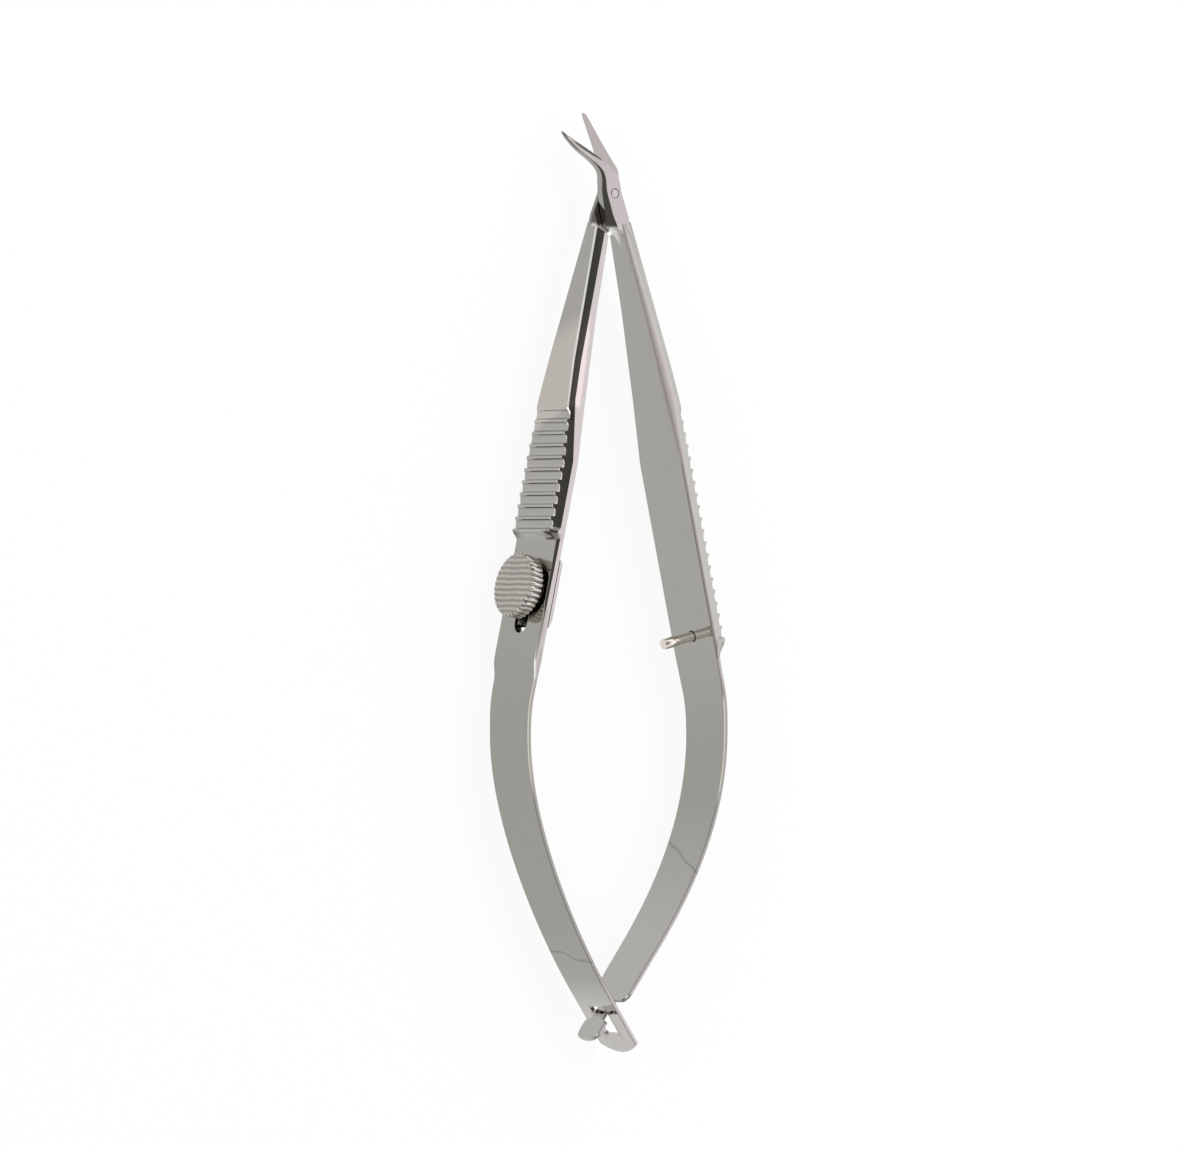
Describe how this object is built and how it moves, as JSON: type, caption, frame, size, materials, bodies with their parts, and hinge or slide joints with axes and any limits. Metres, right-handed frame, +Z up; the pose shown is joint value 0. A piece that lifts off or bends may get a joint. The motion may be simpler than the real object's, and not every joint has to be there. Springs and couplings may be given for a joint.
{
  "type": "spring handle micro scissors",
  "caption": "Spring-handle micro scissors for eye surgery: ribbed flat handles crossing at a pivot, short angled blades, leaf springs linked at the tail, and a thumb slide.",
  "frame": {"origin": "middle of the open tool's footprint, on the surface that it lies on with its back edges down", "axes": "+Y along the tool towards the blades, +X across the handles to the right seen from above, +Z up out of the surface"},
  "size_m": [0.0277, 0.1049, 0.008],
  "materials": {
    "left_arm": "satin, brushed lengthwise",
    "right_arm": "satin, brushed lengthwise",
    "left_leaf_spring": "satin, brushed lengthwise",
    "right_leaf_spring": "satin, brushed lengthwise",
    "pivot_screw": "polished",
    "stop_pin": "satin, brushed lengthwise",
    "thumb_knob": "satin, knurled",
    "knob_collar": "satin, brushed lengthwise",
    "slide_stud": "satin, brushed lengthwise",
    "slide_plate": "satin, brushed lengthwise"
  },
  "bodies": {
    "left_arm": {"left_arm": "left_arm", "pivot_screw": "pivot_screw"},
    "right_arm": {"right_arm": "right_arm", "stop_pin": "stop_pin"},
    "left_leaf": {"left_leaf_spring": "left_leaf_spring"},
    "right_leaf": {"right_leaf_spring": "right_leaf_spring"},
    "thumb_slide": {"thumb_knob": "thumb_knob", "knob_collar": "knob_collar", "slide_stud": "slide_stud", "slide_plate": "slide_plate"}
  },
  "joints": [
    {"name": "squeeze", "type": "hinge", "parent": "left_arm", "child": "right_arm", "pos_m": [0, 0.04345, 0.004], "axis": [0, 0, -1], "range_deg": [0, 19.5], "stiffness_Nm_per_rad": 0.1},
    {"name": "left_leaf_flex", "type": "hinge", "parent": "left_arm", "child": "left_leaf", "pos_m": [-0.01311, -0.01223, 0.004], "axis": [0, 0, -1], "range_deg": [0, 24.6]},
    {"name": "right_leaf_flex", "type": "hinge", "parent": "right_arm", "child": "right_leaf", "pos_m": [0.01311, -0.01223, 0.004], "axis": [0, 0, 1], "range_deg": [0, 24.6]},
    {"name": "thumb_slide", "type": "slide", "parent": "left_arm", "child": "thumb_slide", "axis": [-0.2215, -0.9751, 0], "range_m": [0, 0.0039]}
  ],
  "couplings": [
    {"joint": "left_leaf_flex", "follows": "squeeze", "ratio": 1.26},
    {"joint": "right_leaf_flex", "follows": "squeeze", "ratio": 1.26}
  ]
}
